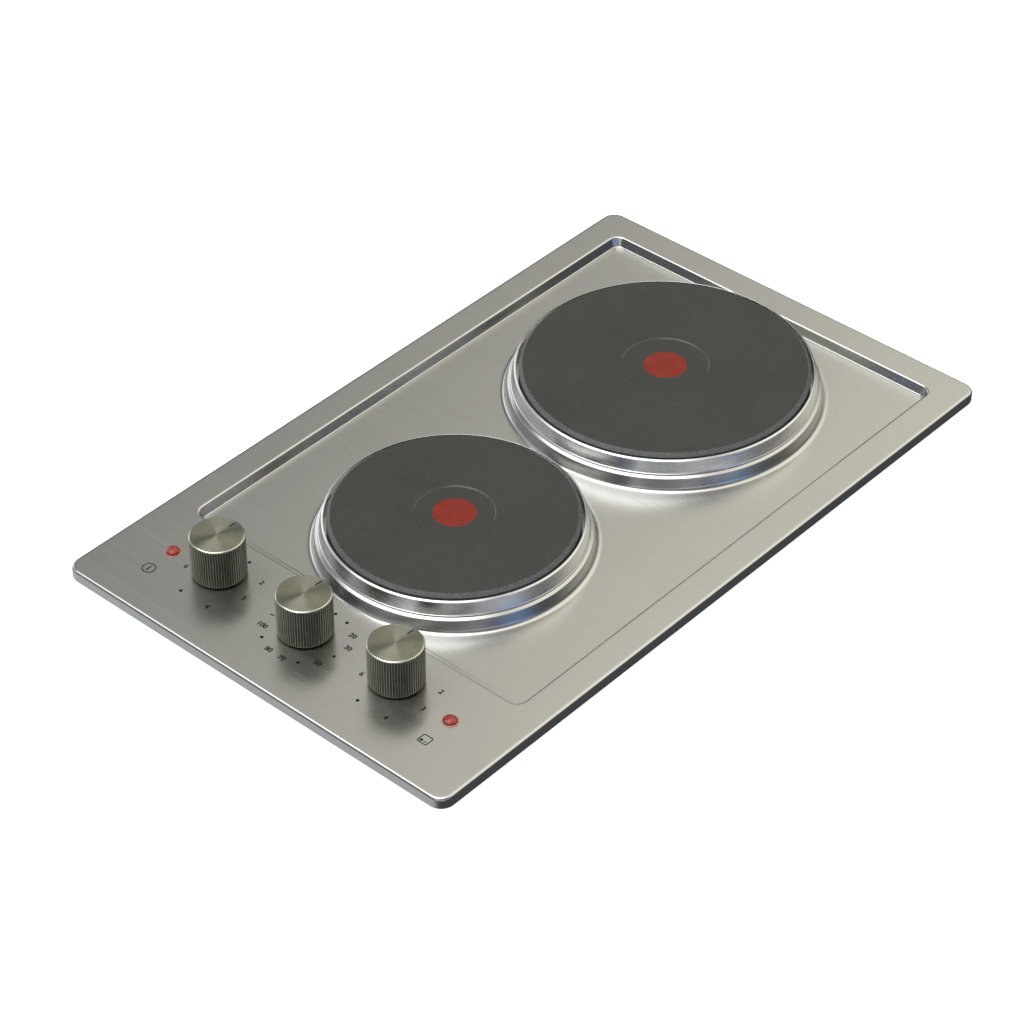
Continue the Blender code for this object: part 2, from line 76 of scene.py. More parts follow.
# The pressed top: heights above the worktop, then sizes across
PANEL = 8.6 * MM
FLOOR = PANEL - 5.5 * MM
LEDGE = 12.0 * MM
LIP_FOOT = 1.0 * MM
SHEET = 0.8 * MM
LIP_DEPTH = 7.5 * MM
FLANGE_CORNER, WELL_CORNER = 9.0 * MM, 7.0 * MM
WELL_LOW, WELL_HIGH = Vector((-125, -158)) * MM, Vector((125, 220)) * MM
WELL_SLOPE = 2.6 * MM
SHAFT_HOLE, LAMP_HOLE = 6.0 * MM, 3.2 * MM

# The plates and the trim rings round them: heights above the worktop, then sizes across
PLATES = ("front", "rear")
SHOULDER, SKIRT_FOOT, HOLLOW_TOP = 13.2 * MM, 5.0 * MM, 15.3 * MM
RING_TOP, RING_SEAT, RING_FOOT = 21.45 * MM, 12.3 * MM, 12.9 * MM
RIM_BEVEL, RIM_BEVEL_DEPTH = 2.3 * MM, 2.2 * MM
RECESS = {"front": 24.0 * MM, "rear": 27.0 * MM}
RECESS_STEP, RECESS_DEPTH = 0.8 * MM, 0.6 * MM
DOT_RADIUS = {"front": 12.8 * MM, "rear": 13.1 * MM}
DOT_THICKNESS = 0.12 * MM

# The knobs, each with the body that turns; the index line's distances are from the shaft
KNOBS = {"left": "left_knob", "middle": "middle_knob", "right": "right_knob"}
FLUTES, FLUTE_STEPS, FLUTE_DEPTH = 66, 10, 0.50 * MM
CHAMFER, PLAIN_BAND, TOP_FALL = 0.80 * MM, 1.15 * MM, 0.35 * MM
CAP_WALL, CAP_CROWN = 2.0 * MM, 3.0 * MM
INDEX_NEAR, INDEX_FAR, INDEX_HALF_WIDTH = 9.2 * MM, 14.4 * MM, 0.45 * MM
INDEX_DEPTH, PAINT_DEPTH, PAINT_GAP = 0.65 * MM, 0.42 * MM, 0.03 * MM

# The pilot lamps' lenses and their rims
LAMPS = ("left", "right")
LENS_SEAT, LENS_RISE, LENS_STEM = PANEL + 0.3 * MM, 2.45 * MM, 2.8 * MM
LENS_RIM_WIDTH, LENS_RIM_TOP = 0.62 * MM, PANEL + 0.42 * MM

# The clamps' long screws and the studs under the flange
CLAMPS = ("front_left", "rear_left", "front_right", "rear_right")
THREAD_RADIUS, THREAD_PITCH = 2.0 * MM, 0.7 * MM
HEAD_RISE, NECK_RADIUS, NECK_RISE = 1.9 * MM, 1.5 * MM, 0.5 * MM
CROSS_REACH, CROSS_HALF_WIDTH, CROSS_DEPTH = 1.9 * MM, 0.42 * MM, 1.1 * MM
STUD_FOOT = 1.4 * MM


# ---------------------------------------------------------------- shapes


def softened(points, radii, steps=5, closed=False):
    """A flat line of points whose corners are rounded to the radii, 0 for a corner that stays sharp."""
    made = []
    count = len(points)
    for number, (point, radius) in enumerate(zip(points, radii)):
        corner = Vector(point)
        inside_line = 0 < number < count - 1
        if radius == 0 or not (closed or inside_line):
            made.append(corner)
            continue
        back = (Vector(points[number - 1]) - corner).normalized()
        ahead = (Vector(points[(number + 1) % count]) - corner).normalized()
        half = back.angle(ahead) / 2
        middle = corner + (back + ahead).normalized() * radius / math.sin(half)
        start = corner + back * radius / math.tan(half) - middle
        end = corner + ahead * radius / math.tan(half) - middle
        made += [middle + radius * start.slerp(end, step / steps) for step in range(steps + 1)]
    return made


def rounded_rectangle(low, high, corner, steps=10):
    """The points of a rounded rectangle, anticlockwise seen from above."""
    middles = (
        (high.x - corner, high.y - corner),
        (low.x + corner, high.y - corner),
        (low.x + corner, low.y + corner),
        (high.x - corner, low.y + corner),
    )
    points = []
    for number, middle in enumerate(middles):
        for step in range(steps + 1):
            angle = math.pi / 2 * (number + step / steps)
            points.append(Vector(middle) + corner * Vector((math.cos(angle), math.sin(angle))))
    return points


def circle(centre, radius, count):
    turns = [math.tau * step / count for step in range(count)]
    return [Vector(centre[:2]) + radius * Vector((math.cos(a), math.sin(a))) for a in turns]


def add_loop(shape, outline, height):
    return [shape.verts.new((x, y, height)) for x, y in outline]


def join_loops(shape, first, second):
    """The faces between two loops; a loop of one point makes a fan."""
    count = max(len(first), len(second))
    for i in range(count):
        j = (i + 1) % count
        corners = [first[i % len(first)], first[j % len(first)]]
        corners += [second[j % len(second)], second[i % len(second)]]
        shape.faces.new(list(dict.fromkeys(corners)))


def fill_between(shape, loops):
    """A flat face inside the first loop, with the other loops as its holes."""
    edges = []
    for loop in loops:
        for first, second in zip(loop, loop[1:] + loop[:1]):
            edges.append(shape.edges.get((first, second)) or shape.edges.new((first, second)))
    bmesh.ops.triangle_fill(shape, use_beauty=True, use_dissolve=False, edges=edges, normal=(0, 0, 1))


def smooth_by_angle(mesh, degrees):
    mesh.shade_smooth()
    mesh.set_sharp_from_angle(angle=math.radians(degrees))


def as_piece(name, shape, material, body="hob", place=(0, 0, 0), sharp=38):
    """A bmesh made into a smooth piece that rides on a CAD body."""
    mesh = bpy.data.meshes.new(name)
    bmesh.ops.recalc_face_normals(shape, faces=shape.faces)
    shape.to_mesh(mesh)
    shape.free()
    piece = bpy.data.objects.new(name, mesh)
    bpy.context.scene.collection.objects.link(piece)
    piece.location = place
    if material:
        mesh.materials.append(material)
    smooth_by_angle(mesh, sharp)
    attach(piece, body)
    return piece


def even_shading(piece):
    """Flat faces shade flat right up to the bends beside them."""
    weighted = piece.modifiers.new("even shading", "WEIGHTED_NORMAL")
    weighted.keep_sharp = True
    return piece


def settle(piece, sharp=38):
    """The piece's modifiers made part of its mesh."""
    evaluated = piece.evaluated_get(bpy.context.evaluated_depsgraph_get())
    mesh = bpy.data.meshes.new_from_object(evaluated)
    piece.modifiers.clear()
    piece.data = mesh
    smooth_by_angle(mesh, sharp)
    return piece


def turned(name, profile, material, place, body="hob", around=192, closed=False, sway=None):
    """A profile of (radius, height) points turned about the upright axis through place.
    sway gives a factor for the radius at an angle, so that an outline can wander."""
    shape = bmesh.new()
    loops = []
    for radius, height in profile:
        if radius < 1e-6:
            loops.append([shape.verts.new((0, 0, height))])
            continue
        loops.append([])
        for step in range(around):
            angle = math.tau * step / around
            reach = radius * (sway(angle) if sway else 1)
            corner = (reach * math.cos(angle), reach * math.sin(angle), height)
            loops[-1].append(shape.verts.new(corner))
    if closed:
        loops.append(loops[0])
    for first, second in zip(loops, loops[1:]):
        join_loops(shape, first, second)
    return even_shading(as_piece(name, shape, material, body, place))


def on_worktop(place):
    return Vector((place.x, place.y, WORKTOP_Z))


# ---------------------------------------------------------------- materials


class Finish:
    """A new Principled material, with short ways to add the nodes that vary it."""

    def __init__(self, name, colour, roughness, metallic=0.0, **sockets):
        self.material = bpy.data.materials.new(name)
        self.material.use_nodes = True
        self.tree = self.material.node_tree
        self.shader = self.tree.nodes["Principled BSDF"]
        self.shader.inputs["Base Color"].default_value = (*colour, 1)
        self.shader.inputs["Roughness"].default_value = roughness
        self.shader.inputs["Metallic"].default_value = metallic
        for socket, value in sockets.items():
            title = socket.replace("_", " ").title().replace("Ior", "IOR")
            self.shader.inputs[title].default_value = value

    def node(self, kind, inputs, **settings):
        made = self.tree.nodes.new("ShaderNode" + kind)
        for setting, value in settings.items():
            setattr(made, setting, value)
        for socket, value in inputs.items():
            self.feed(made.inputs[socket], value)
        return made

    def feed(self, socket, value):
        if isinstance(value, bpy.types.NodeSocket):
            self.tree.links.new(value, socket)
        else:
            socket.default_value = value

    def set(self, socket, value):
        self.feed(self.shader.inputs[socket], value)

    def places(self, stretch=(1, 1, 1)):
        """Object coordinates, stretched: a larger number packs the pattern tighter along that axis."""
        found = self.node("TexCoord", {}).outputs["Object"]
        return self.node("Mapping", {"Vector": found, "Scale": stretch}).outputs["Vector"]

    def noise(self, scale, stretch=(1, 1, 1), detail=3.0, roughness=0.55):
        inputs = {"Vector": self.places(stretch), "Scale": scale, "Detail": detail, "Roughness": roughness}
        return self.node("TexNoise", inputs).outputs["Fac"]

    def cells(self, scale, stretch=(1, 1, 1), output="Distance"):
        inputs = {"Vector": self.places(stretch), "Scale": scale}
        return self.node("TexVoronoi", inputs).outputs[output]

    def rings(self, scale, distortion=0.0):
        """Fine circles about the piece's own upright axis."""
        inputs = {"Vector": self.places(), "Scale": scale, "Distortion": distortion, "Detail": 2.0}
        settings = {"wave_type": "RINGS", "rings_direction": "Z"}
        return self.node("TexWave", inputs, **settings).outputs["Fac"]

    def level(self, clip=(0.91, 0.995)):
        """1 where the surface lies level, 0 where it slopes: clip gives the cosines of the two slopes."""
        upright = self.node("SeparateXYZ", {"Vector": self.node("TexCoord", {}).outputs["Normal"]})
        return self.between(upright.outputs["Z"], 0.0, 1.0, clip)

    def between(self, factor, low, high, clip=(0.3, 0.7)):
        """factor from clip's low to its high, mapped to low..high."""
        inputs = {"Value": factor, "From Min": clip[0], "From Max": clip[1], "To Min": low, "To Max": high}
        return self.node("MapRange", inputs).outputs["Result"]

    def shades(self, factor, *stops):
        """Colours at places along the factor: (place, colour) pairs."""
        ramp = self.node("ValToRGB", {"Fac": factor})
        elements = ramp.color_ramp.elements
        while len(elements) < len(stops):
            elements.new(0.5)
        for element, (place, colour) in zip(elements, stops):
            element.position, element.color = place, (*colour, 1)
        return ramp.outputs["Color"]

    def blended(self, factor, first, second, way="MIX"):
        """Two colours mixed. The mix node's sockets 6 and 7 and its output 2 are its colour ones."""
        mix = self.node("Mix", {0: factor}, data_type="RGBA", blend_type=way)
        self.feed(mix.inputs[6], first)
        self.feed(mix.inputs[7], second)
        return mix.outputs[2]

    def bump(self, height, depth, strength=1.0, below=None):
        inputs = {"Height": height, "Distance": depth, "Strength": strength}
        if below is not None:
            inputs["Normal"] = below
        return self.node("Bump", inputs).outputs["Normal"]


def brushed_sheet():
    """Stainless sheet brushed along X, with the lines drawn smooth on its pressed slopes; the steep slopes
    are darkened as painted shade.
    The highlights stretch across the brush lines."""
    made = Finish("brushed_sheet", (0.60, 0.59, 0.56), 0.30, 1.0, anisotropic=0.55)
    level = made.level()
    streaks = made.noise(1.0, (9, 2200, 2200), 4, 0.6)
    wide_streaks = made.noise(1.0, (5, 260, 260), 3, 0.5)
    clouds = made.noise(9.0, detail=2)
    tone = made.shades(clouds, (0.30, (0.58, 0.575, 0.55)), (0.70, (0.61, 0.603, 0.575)))
    lines = made.shades(streaks, (0.25, (0.90, 0.90, 0.90)), (0.75, (1.0, 1.0, 1.0)))
    # Painted shade: the steep slopes of the well walls and collars are darkened to about 0.7 of the sheet's
    # tone.
    painted_slope_shade = made.shades(made.level((0.50, 0.85)), (0.0, (0.68, 0.69, 0.72)), (1.0, (1.0, 1.0, 1.0)))
    tone = made.blended(1.0, tone, painted_slope_shade, "MULTIPLY")
    made.set("Base Color", made.blended(made.between(level, 0.0, 0.5, (0, 1)), tone, lines, "MULTIPLY"))
    brushed = made.between(wide_streaks, 0.24, 0.28)
    drawn = made.between(clouds, 0.20, 0.25)
    made.set("Roughness", made.between(level, drawn, brushed, (0, 1)))
    grain = made.bump(streaks, 0.02 * MM, made.between(level, 0.0, 0.35, (0, 1)))
    made.set("Normal", made.bump(made.noise(14.0, detail=1), 0.5 * MM, 0.05, grain))
    across = made.node("CombineXYZ", {"X": 0.0, "Y": 0.94, "Z": 0.34})
    made.set("Tangent", across.outputs["Vector"])
    return made.material


def rolled_bright_steel():
    """The trim rings: bright, with faint lines from rolling and a few soft smears."""
    made = Finish("rolled_bright_steel", (0.74, 0.74, 0.74), 0.12, 1.0)
    smears = made.noise(60.0, (1, 1, 4), 3)
    lines = made.noise(1.0, (40, 40, 5200), 3)
    made.set("Base Color", made.shades(smears, (0.3, (0.66, 0.665, 0.68)), (0.7, (0.78, 0.78, 0.77))))
    made.set("Roughness", made.between(smears, 0.20, 0.29))
    waves = made.bump(made.noise(38.0, detail=1), 0.6 * MM, 0.16)
    made.set("Normal", made.bump(lines, 0.01 * MM, 0.3, waves))
    return made.material


def coated_iron(name, roughness, specular):
    """Cast iron under a thin matt coating: fine pores and faint turning marks."""
    made = Finish(name, (0.046, 0.047, 0.041), roughness, 0.0, specular_ior_level=specular)
    grain = made.noise(2200.0, detail=2)
    blotches = made.noise(24.0, detail=4)
    marks = made.rings(420.0, 0.6)
    tone = made.shades(blotches, (0.3, (0.041, 0.042, 0.036)), (0.7, (0.050, 0.051, 0.045)))
    pepper = made.shades(grain, (0.35, (0.66, 0.66, 0.66)), (0.65, (1.22, 1.22, 1.22)))
    made.set("Base Color", made.blended(0.8, tone, pepper, "MULTIPLY"))
    made.set("Roughness", made.between(blotches, roughness - 0.06, roughness + 0.06))
    cast = made.bump(grain, 0.06 * MM, 0.5)
    made.set("Normal", made.bump(marks, 0.01 * MM, 0.25, cast))
    return made.material


def rough_iron():
    """The bevelled rim of a plate: the same iron, coarser and paler where the turning tool cut it."""
    made = Finish("turned_iron_rim", (0.10, 0.10, 0.10), 0.55, 0.25, specular_ior_level=0.5)
    grain = made.noise(1500.0, detail=3, roughness=0.7)
    made.set("Base Color", made.shades(grain, (0.34, (0.030, 0.031, 0.031)), (0.70, (0.20, 0.202, 0.20))))
    made.set("Roughness", made.between(grain, 0.45, 0.68))
    made.set("Normal", made.bump(grain, 0.10 * MM, 0.6))
    return made.material


def red_enamel():
    made = Finish("red_enamel", (0.27, 0.026, 0.014), 0.45, specular_ior_level=0.3)
    grain = made.noise(900.0, detail=3)
    clouds = made.noise(130.0, detail=3)
    tone = made.shades(clouds, (0.3, (0.20, 0.016, 0.008)), (0.7, (0.27, 0.024, 0.012)))
    specks = made.shades(grain, (0.32, (0.70, 0.70, 0.70)), (0.62, (1.0, 1.0, 1.0)))
    made.set("Base Color", made.blended(0.8, tone, specks, "MULTIPLY"))
    made.set("Roughness", made.between(grain, 0.36, 0.52))
    made.set("Normal", made.bump(grain, 0.05 * MM, 0.5))
    return made.material


def spun_metal(name, colour, darker, roughness=0.40):
    """The knobs' nickel: spun circles on the top, which draw the highlight out into two opposite fans."""
    made = Finish(name, colour, roughness, 1.0, anisotropic=0.90, anisotropic_rotation=0.25)
    circles = made.rings(900.0, 0.5)
    grime = made.noise(160.0, detail=2)
    tone = made.shades(grime, (0.35, darker), (0.65, colour))
    made.set("Base Color", made.blended(0.3, tone, made.shades(circles, (0.2, darker), (0.8, colour))))
    made.set("Roughness", made.between(grime, roughness - 0.02, roughness + 0.03))
    made.set("Normal", made.bump(circles, 0.002 * MM, 0.3))
    made.set("Tangent", made.node("Tangent", {}, direction_type="RADIAL", axis="Z").outputs["Tangent"])
    return made.material


def red_lens():
    made = Finish("red_lens", (0.33, 0.030, 0.018), 0.30, coat_weight=0.15, coat_roughness=0.14)
    depth = made.noise(520.0, detail=2)
    facets = made.cells(620.0)
    made.set("Base Color", made.shades(depth, (0.35, (0.15, 0.012, 0.007)), (0.65, (0.38, 0.045, 0.026))))
    made.set("Roughness", made.between(depth, 0.24, 0.36))
    made.set("Normal", made.bump(facets, 0.40 * MM, 0.9))
    return made.material


def lens_rim():
    made = Finish("lens_rim", (0.52, 0.24, 0.19), 0.35, coat_weight=0.2, coat_roughness=0.2)
    glow = made.noise(700.0, detail=2)
    made.set("Base Color", made.shades(glow, (0.3, (0.45, 0.19, 0.14)), (0.7, (0.58, 0.33, 0.27))))
    made.set("Roughness", made.between(glow, 0.22, 0.40))
    return made.material


def printed_black():
    made = Finish("printed_black", (0.006, 0.006, 0.006), 0.60, specular_ior_level=0.15)
    wear = made.noise(1600.0, detail=3)
    made.set("Base Color", made.shades(wear, (0.35, (0.004, 0.004, 0.004)), (0.70, (0.014, 0.014, 0.013))))
    made.set("Roughness", made.between(wear, 0.45, 0.70))
    made.set("Normal", made.bump(wear, 0.01 * MM, 0.3))
    return made.material


def moulded(name, colour, pale, roughness, grain_scale, depth):
    """A moulded or foamed piece: uneven tone and a fine all-over grain."""
    made = Finish(name, colour, roughness)
    grain = made.noise(grain_scale, detail=3)
    clouds = made.noise(45.0, detail=3)
    made.set("Base Color", made.shades(clouds, (0.3, colour), (0.72, pale)))
    made.set("Roughness", made.between(grain, roughness - 0.07, min(roughness + 0.10, 0.98)))
    made.set("Normal", made.bump(grain, depth, 0.6))
    return made.material


def galvanised(name, colour, pale, spangle):
    """Zinc on sheet or screws: a crystal pattern of that fineness, duller in patches."""
    made = Finish(name, colour, 0.38, 1.0)
    crystals = made.cells(spangle, output="Color")
    patches = made.noise(30.0, detail=4)
    tone = made.shades(made.node("RGBToBW", {"Color": crystals}).outputs["Val"], (0.2, colour), (0.8, pale))
    dull = made.shades(patches, (0.35, (0.80, 0.80, 0.80)), (0.65, (1.0, 1.0, 1.0)))
    made.set("Base Color", made.blended(0.8, tone, dull, "MULTIPLY"))
    made.set("Roughness", made.between(patches, 0.30, 0.50))
    made.set("Normal", made.bump(made.noise(800.0, detail=2), 0.02 * MM, 0.35))
    return made.material


def braided_sleeve():
    made = Finish("braided_sleeve", (0.45, 0.10, 0.07), 0.75)
    weave = made.cells(1500.0, (1, 1, 0.6))
    made.set("Base Color", made.shades(weave, (0.1, (0.52, 0.12, 0.08)), (0.8, (0.25, 0.045, 0.03))))
    made.set("Roughness", made.between(weave, 0.62, 0.85, (0.0, 1.0)))
    made.set("Normal", made.bump(weave, 0.15 * MM, 0.7))
    return made.material


def slot_finishes():
    """One finish for each of the record's material slots."""
    black, dark_grey = (0.018, 0.018, 0.019), (0.034, 0.034, 0.035)
    rubber, grey_rubber = (0.014, 0.014, 0.014), (0.028, 0.028, 0.027)
    compound, pale_compound = (0.42, 0.38, 0.31), (0.56, 0.52, 0.44)
    ceramic, pale_ceramic = (0.70, 0.68, 0.62), (0.82, 0.80, 0.75)
    foam, pale_foam = (0.08, 0.08, 0.08), (0.16, 0.16, 0.16)
    return {
        "brushed_steel": brushed_sheet(),
        "cast_iron": coated_iron("coated_cast_iron", 0.62, 0.28),
        "bright_steel": rolled_bright_steel(),
        "knob_metal": spun_metal("spun_nickel", (0.30, 0.297, 0.236), (0.25, 0.247, 0.196)),
        "insulating_compound": moulded("pressed_compound", compound, pale_compound, 0.88, 700.0, 0.3 * MM),
        "zinc_steel": galvanised("zinc_plate", (0.50, 0.505, 0.51), (0.66, 0.66, 0.65), 900.0),
        "casing_steel": galvanised("galvanised_sheet", (0.47, 0.48, 0.49), (0.60, 0.61, 0.61), 130.0),
        "white_ceramic": moulded("fired_ceramic", ceramic, pale_ceramic, 0.45, 900.0, 0.05 * MM),
        "black_plastic": moulded("moulded_black", black, dark_grey, 0.42, 1900.0, 0.03 * MM),
        "black_rubber": moulded("rubber", rubber, grey_rubber, 0.78, 1300.0, 0.05 * MM),
        "red_lens": red_lens(),
        "grey_foam": moulded("closed_cell_foam", foam, pale_foam, 0.88, 1100.0, 0.3 * MM),
        "lead_sleeve": braided_sleeve(),
    }


FINISHES = slot_finishes()
BLACK_PRINT = printed_black()
RED_ENAMEL = red_enamel()
LENS_RIM = lens_rim()
ROUGH_IRON = rough_iron()
TURNED_STEP = coated_iron("turned_step", 0.34, 0.60)
# Painted shade: a far darker copy of the knob metal for the bottoms of the flutes, standing in for the
# shade in the grooves.
GROOVE_SHADE_METAL = spun_metal("groove_painted_shade", (0.085, 0.083, 0.070), (0.055, 0.054, 0.046))
# A glossier copy of the knob metal for the cut chamfer; its paler colour is a painted highlight.
CHAMFER_HIGHLIGHT_METAL = spun_metal("chamfer_painted_highlight", (0.60, 0.59, 0.52), (0.54, 0.53, 0.46), 0.20)


# ---------------------------------------------------------------- pieces of the object


def dress_cad_nodes():
    """Each carried-over CAD node takes the finish of its own slot."""
    for name, node in frame["nodes"].items():
        for place in node.material_slots:
            place.material = FINISHES[SLOTS[name]]
        smooth_by_angle(node.data, 32)


# How wide the broken edges are, in mm, on the sheet, moulded and machined parts below the top
EDGES = {
    "bottom_casing": 0.30,
    "switch_bracket": 0.30,
    "mains_terminal": 0.50,
    "timer_switch_middle": 0.60,
    "heat_switch_left": 0.60,
    "heat_switch_right": 0.60,
    "cable_gland": 0.40,
}
REPEATED_EDGES = (
    ("plate_terminal_", PLATES, 0.50),
    ("clamp_strap_", PLATES, 0.35),
    ("bottom_shield_", PLATES, 0.20),
    ("stud_nut_", PLATES, 0.45),
    ("thermal_cutout_", PLATES, 0.40),
    ("lamp_body_", LAMPS, 0.35),
    ("casing_nut_", CLAMPS, 0.30),
    ("worktop_clamp_", CLAMPS, 0.35),
)
EDGES.update({stem + name: width for stem, names, width in REPEATED_EDGES for name in names})


def edged(node, width):
    """A piece of a CAD node's own shape with its sharp edges broken to that width."""
    bodies = frame["record"]["behaviour"]["bodies"]
    body = next(name for name, members in bodies.items() if node in members)
    shape = bmesh.new()
    shape.from_mesh(frame["nodes"][node].data)
    bmesh.ops.remove_doubles(shape, verts=shape.verts, dist=0.001 * MM)
    piece = as_piece("edged_" + node, shape, FINISHES[SLOTS[node]], body)
    rounding = piece.modifiers.new("edges", "BEVEL")
    rounding.limit_method, rounding.angle_limit = "ANGLE", math.radians(35)
    rounding.width, rounding.segments = width * MM, 3
    even_shading(settle(piece, 50))
    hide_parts(node)


def clamp_bolt(name):
    """A clamp's long screw: threaded from end to end, with a cross recess in its head."""
    node = "clamp_screw_" + name
    low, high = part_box(node)
    centre, radius = middle_of(node), radius_of(node)
    under_head = low.z + HEAD_RISE
    neck = under_head + NECK_RISE
    threaded("clamp_thread_" + name, centre, under_head, high.z)
    points = [
        (0, low.z),
        (radius, low.z),
        (radius, under_head),
        (NECK_RADIUS, under_head),
        (NECK_RADIUS, neck),
        (0, neck),
    ]
    profile = softened(points, [0, 1.1 * MM, 0.3 * MM, 0.1 * MM, 0, 0], 5)
    head = turned("clamp_head_" + name, profile, FINISHES["zinc_steel"], (centre.x, centre.y, 0), around=48)
    for half in (Vector((CROSS_HALF_WIDTH, CROSS_REACH)), Vector((CROSS_REACH, CROSS_HALF_WIDTH))):
        outline = rounded_rectangle(centre.xy - half, centre.xy + half, 0.15 * MM, 3)
        carve(head, slab("recess_cutter", outline, low.z - MM, low.z + CROSS_DEPTH, None))
    even_shading(head)
    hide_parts(node)


def carve(piece, cutter):
    """Cuts the cutter's shape out of the piece and removes the cutter."""
    step = piece.modifiers.new("carve", "BOOLEAN")
    step.operation, step.object, step.solver = "DIFFERENCE", cutter, "EXACT"
    settle(piece, 42)
    bpy.data.objects.remove(cutter)


def pressed_top():
    """The steel top in one sheet: returned lip, rounded flange, sunk well and the two collars."""
    low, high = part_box("top_tray")
    shape = bmesh.new()

    def flange_loop(inset, height):
        corner = max(FLANGE_CORNER - inset, 1.5 * MM)
        edge = Vector((inset, inset))
        outline = rounded_rectangle(low.xy + edge, high.xy - edge, corner)
        return add_loop(shape, outline, WORKTOP_Z + height)

    def well_loop(inset, height):
        edge = Vector((inset, inset))
        outline = rounded_rectangle(WELL_LOW + edge, WELL_HIGH - edge, max(WELL_CORNER - inset, 0.4 * MM))
        return add_loop(shape, outline, WORKTOP_Z + height)

    flange_points = [(LIP_DEPTH, LIP_FOOT), (0, LIP_FOOT), (0, PANEL), (3.0 * MM, PANEL)]
    flange_line = softened(flange_points, [0, 1.0 * MM, 1.9 * MM, 0], 8)
    well_points = [(-2.0 * MM, PANEL), (0, PANEL), (WELL_SLOPE, FLOOR), (6.4 * MM, FLOOR)]
    well_line = softened(well_points, [0, 1.5 * MM, 0.7 * MM, 0], 8)
    flange = [flange_loop(inset, height) for inset, height in flange_line]
    well = [well_loop(inset, height) for inset, height in well_line]
    collars = [collar_loops(shape, name) for name in PLATES]
    for loops in (flange, well, *collars):
        for first, second in zip(loops, loops[1:]):
            join_loops(shape, first, second)
    fill_between(shape, [flange[-1], well[0], *panel_holes(shape)])
    fill_between(shape, [well[-1], *(loops[0] for loops in collars)])

    piece = as_piece("pressed_top", shape, FINISHES["brushed_steel"])
    face_up(piece)
    skin = piece.modifiers.new("sheet", "SOLIDIFY")
    skin.thickness, skin.offset, skin.use_even_offset = SHEET, -1.0, True
    even_shading(settle(piece, 40))
    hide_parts("top_tray")


def collar_loops(shape, name):
    """The raised collar round a plate's opening, from the well's floor up to the ledge."""
    centre = middle_of("iron_plate_" + name)
    radius = radius_of("iron_plate_" + name)
    points = [
        (radius + 12.6 * MM, FLOOR),
        (radius + 8.6 * MM, FLOOR),
        (radius + 7.0 * MM, LEDGE - 1.15 * MM),
        (radius + 5.1 * MM, LEDGE),
        (radius - 3.0 * MM, LEDGE),
    ]
    line = softened(points, [0, 3.2 * MM, 0.9 * MM, 0.9 * MM, 0], 8)
    return [add_loop(shape, circle(centre, reach, 192), WORKTOP_Z + height) for reach, height in line]


def panel_holes(shape):
    """The holes for the control shafts and the pilot lamps."""
    places = [(middle_of("control_shaft_" + name), SHAFT_HOLE) for name in KNOBS]
    places += [(middle_of("lamp_lens_" + name), LAMP_HOLE) for name in LAMPS]
    return [add_loop(shape, circle(place, radius, 36), WORKTOP_Z + PANEL) for place, radius in places]


def face_up(piece):
    """Turns the sheet's faces over if its large level faces look down."""
    faces = piece.data.polygons
    if sum(face.normal.z * face.area for face in faces if abs(face.normal.z) > 0.99) < 0:
        piece.data.flip_normals()


def weld_studs():
    """The threaded studs under the flange that hold the casing's lip."""
    for name in CLAMPS:
        centre = middle_of("casing_nut_" + name)
        threaded("weld_stud_" + name, centre, WORKTOP_Z + STUD_FOOT, WORKTOP_Z + PANEL - SHEET)


def thread_reach(climb, turn, turns):
    """The rod's radius at a point climb threads above its foot and turn of a whole turn round it.
    The ridge fades over the last half thread at each end."""
    depth = THREAD_PITCH * 0.5
    phase = (climb - turn) % 1.0
    to_end = min(climb, turns - climb)
    return THREAD_RADIUS - depth * abs(2 * phase - 1) - depth * max(0.0, 0.5 - to_end)


def threaded(name, centre, low, high):
    """An upright threaded rod: one helical ridge from end to end, drawn on columns of points."""
    steps = 20
    turns = (high - low) / THREAD_PITCH
    rows = max(int(turns * 6), 6)
    shape = bmesh.new()
    columns = []
    for step in range(steps):
        angle = math.tau * step / steps
        columns.append([])
        for row in range(rows + 1):
            reach = thread_reach(turns * row / rows, step / steps, turns)
            corner = (reach * math.cos(angle), reach * math.sin(angle), low + (high - low) * row / rows)
            columns[-1].append(shape.verts.new(corner))
    for first, second in zip(columns, columns[1:] + columns[:1]):
        for row in range(rows):
            shape.faces.new((first[row], second[row], second[row + 1], first[row + 1]))
    shape.faces.new([column[0] for column in reversed(columns)])
    shape.faces.new([column[-1] for column in columns])
    piece = as_piece(name, shape, FINISHES["zinc_steel"], "hob", (centre.x, centre.y, 0), 60)


def iron_plate(name):
    """The cast-iron plate with its shallow centre recess, bevelled rim and underside skirt."""
    node = "iron_plate_" + name
    radius, recess = radius_of(node), RECESS[name]
    sunk = IRON_TOP - RECESS_DEPTH
    skirt_outside, skirt_inside = radius - 4.0 * MM, radius - 10.0 * MM
    points = [
        (0, sunk),
        (recess - RECESS_STEP, sunk),
        (recess, IRON_TOP),
        (radius - RIM_BEVEL, IRON_TOP),
        (radius, IRON_TOP - RIM_BEVEL_DEPTH),
        (radius, SHOULDER),
        (skirt_outside, SHOULDER),
        (skirt_outside, SKIRT_FOOT),
        (skirt_inside, SKIRT_FOOT),
        (skirt_inside, HOLLOW_TOP),
        (0, HOLLOW_TOP),
    ]
    bends = [0, 0.25, 0.25, 0.7, 0.35, 0.3, 0.5, 0.6, 0.6, 1.5, 0]
    profile = softened(points, [bend * MM for bend in bends], 5)
    piece = turned("cast_plate_" + name, profile, FINISHES["cast_iron"], on_worktop(middle_of(node)))
    show_turning(piece, radius, recess)
    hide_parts(node)


